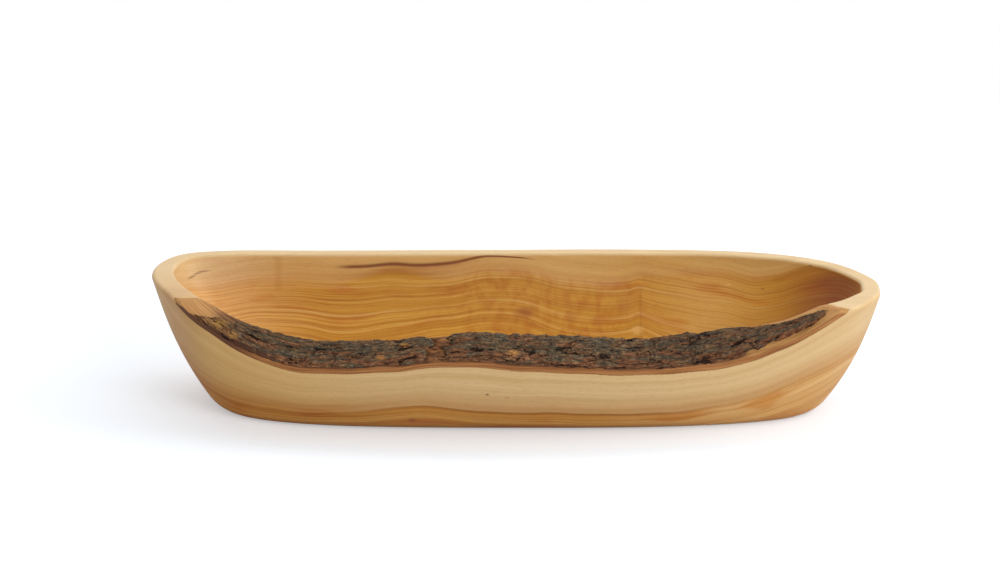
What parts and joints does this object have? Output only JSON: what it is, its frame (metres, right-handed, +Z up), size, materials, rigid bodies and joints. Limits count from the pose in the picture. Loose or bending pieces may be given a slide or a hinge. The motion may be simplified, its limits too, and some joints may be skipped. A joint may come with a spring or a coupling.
{
  "type": "live-edge wooden bowl",
  "caption": "Long shallow wooden bowl carved from half a log, with the bark kept along one side of its rim.",
  "frame": {"origin": "on the table plane, at the middle of the bowl's length and of its full width", "axes": "+X along the log towards the end with the pointed bark, +Y away from the bark side, +Z up"},
  "size_m": [0.381, 0.1417, 0.063],
  "materials": {
    "olive_wood": "oiled, satin",
    "inner_bark": "sanded, matt",
    "outer_bark": "rough, dry"
  },
  "bodies": {
    "root": {"bowl_body": "olive_wood", "inner_bark": "inner_bark", "bark_plate_1": "outer_bark", "bark_plate_2": "outer_bark", "bark_plate_3": "outer_bark", "bark_plate_4": "outer_bark", "bark_plate_5": "outer_bark", "bark_plate_6": "outer_bark", "bark_plate_7": "outer_bark", "bark_strip_1": "outer_bark", "bark_strip_2": "outer_bark"}
  },
  "joints": []
}
